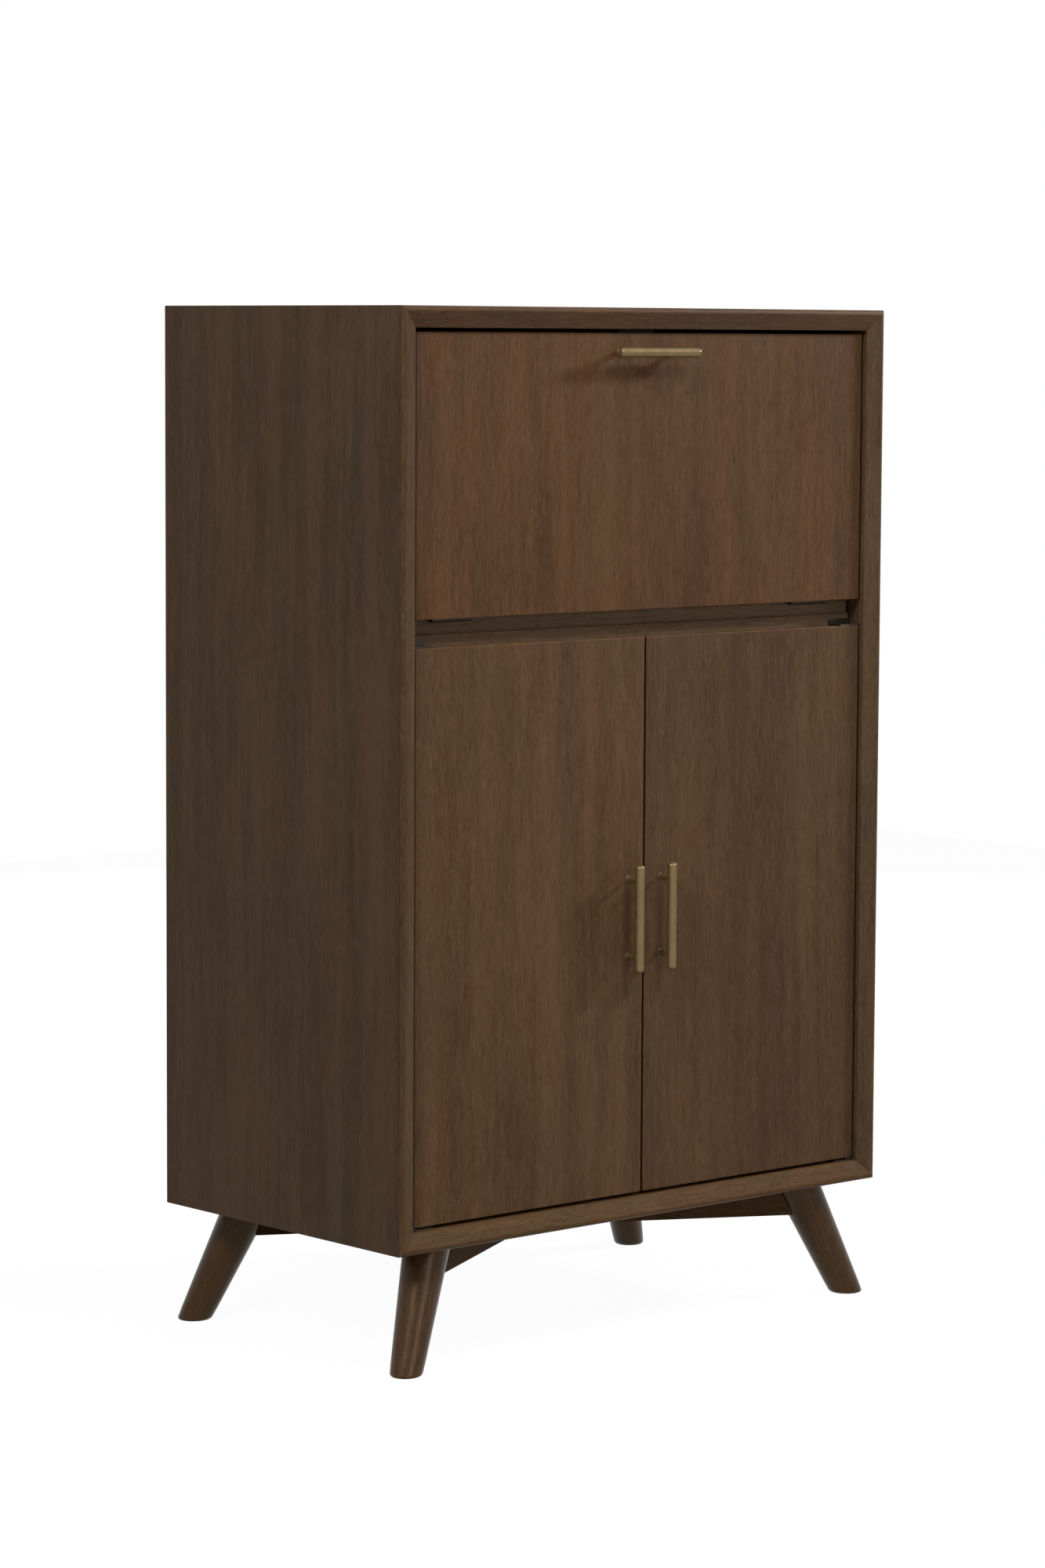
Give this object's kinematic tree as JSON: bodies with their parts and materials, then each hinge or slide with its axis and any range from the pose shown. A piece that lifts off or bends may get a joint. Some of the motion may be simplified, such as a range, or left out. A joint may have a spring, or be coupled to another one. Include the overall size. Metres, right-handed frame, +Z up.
{
  "type": "bar cabinet",
  "caption": "Tall walnut bar cabinet on splayed legs, with a flap that folds down to a level serving shelf over a pair of doors, and round bar pulls.",
  "frame": {"origin": "on the floor, in the middle of the bounding box", "axes": "+X to the right as seen from the front, +Y to the rear, +Z up"},
  "size_m": [0.813, 0.477, 1.285],
  "materials": {
    "walnut_veneer": "satin dark walnut veneer with fine straight grain",
    "walnut_solid": "satin solid walnut",
    "brass": "satin brushed brass",
    "steel": "dark bronzed steel",
    "catch_plastic": "dark brown moulding"
  },
  "bodies": {
    "case": {"left_side": "walnut_veneer", "right_side": "walnut_veneer", "top_panel": "walnut_veneer", "bottom_panel": "walnut_veneer", "back_panel": "walnut_veneer", "bar_deck": "walnut_veneer", "mid_rail": "walnut_veneer", "adjustable_shelf": "walnut_veneer", "top_front_lipping": "walnut_solid", "right_front_lipping": "walnut_solid", "bottom_front_lipping": "walnut_solid", "left_front_lipping": "walnut_solid", "shelf_pin_front_left": "steel", "shelf_pin_front_right": "steel", "shelf_pin_rear_left": "steel", "shelf_pin_rear_right": "steel", "front_left_leg": "walnut_solid", "front_right_leg": "walnut_solid", "rear_left_leg": "walnut_solid", "rear_right_leg": "walnut_solid", "cross_stretcher_left_to_rear_right": "walnut_solid", "cross_stretcher_right_to_rear_left": "walnut_solid", "left_flap_hinge_deck_leaf": "steel", "left_flap_hinge_pin": "steel", "left_stay_wall_plate": "steel", "left_door_bottom_pivot": "steel", "left_door_top_pivot": "steel", "right_flap_hinge_deck_leaf": "steel", "right_flap_hinge_pin": "steel", "right_stay_wall_plate": "steel", "right_door_bottom_pivot": "steel", "right_door_top_pivot": "steel", "flap_magnet_catch": "catch_plastic", "double_door_magnet_catch": "catch_plastic"},
    "flap": {"flap_panel": "walnut_veneer", "flap_pull_bar": "brass", "flap_pull_post_left": "brass", "flap_pull_post_right": "brass", "flap_strike": "steel", "left_flap_hinge_flap_leaf": "steel", "left_stay_flap_bracket": "steel", "right_flap_hinge_flap_leaf": "steel", "right_stay_flap_bracket": "steel"},
    "left_door": {"left_door_panel": "walnut_veneer", "left_door_pull_bar": "brass", "left_door_pull_post_lower": "brass", "left_door_pull_post_upper": "brass", "left_door_bottom_pivot_socket": "steel", "left_door_top_pivot_socket": "steel", "left_door_strike": "steel"},
    "left_stay_bar": {"left_stay_bar": "steel"},
    "right_door": {"right_door_panel": "walnut_veneer", "right_door_pull_bar": "brass", "right_door_pull_post_lower": "brass", "right_door_pull_post_upper": "brass", "right_door_bottom_pivot_socket": "steel", "right_door_top_pivot_socket": "steel", "right_door_strike": "steel"},
    "right_stay_bar": {"right_stay_bar": "steel"}
  },
  "joints": [
    {"name": "flap_fold", "type": "hinge", "parent": "case", "child": "flap", "pos_m": [0, -0.1905, 0.912], "axis": [1, 0, 0], "range_deg": [0, 90]},
    {"name": "left_stay_swing", "type": "hinge", "parent": "flap", "child": "left_stay_bar", "pos_m": [-0.3735, -0.1785, 1.10055], "axis": [1, 0, 0], "range_deg": [-45, 0]},
    {"name": "right_stay_swing", "type": "hinge", "parent": "flap", "child": "right_stay_bar", "pos_m": [0.3735, -0.1785, 1.10055], "axis": [1, 0, 0], "range_deg": [-45, 0]},
    {"name": "left_door_swing", "type": "hinge", "parent": "case", "child": "left_door", "pos_m": [-0.3735, -0.2055, 0.181], "axis": [0, 0, -1], "range_deg": [0, 95]},
    {"name": "right_door_swing", "type": "hinge", "parent": "case", "child": "right_door", "pos_m": [0.3735, -0.2055, 0.181], "axis": [0, 0, 1], "range_deg": [0, 95]}
  ],
  "couplings": [
    {"joint": "left_stay_swing", "follows": "flap_fold", "ratio": -0.5},
    {"joint": "right_stay_swing", "follows": "flap_fold", "ratio": -0.5}
  ]
}
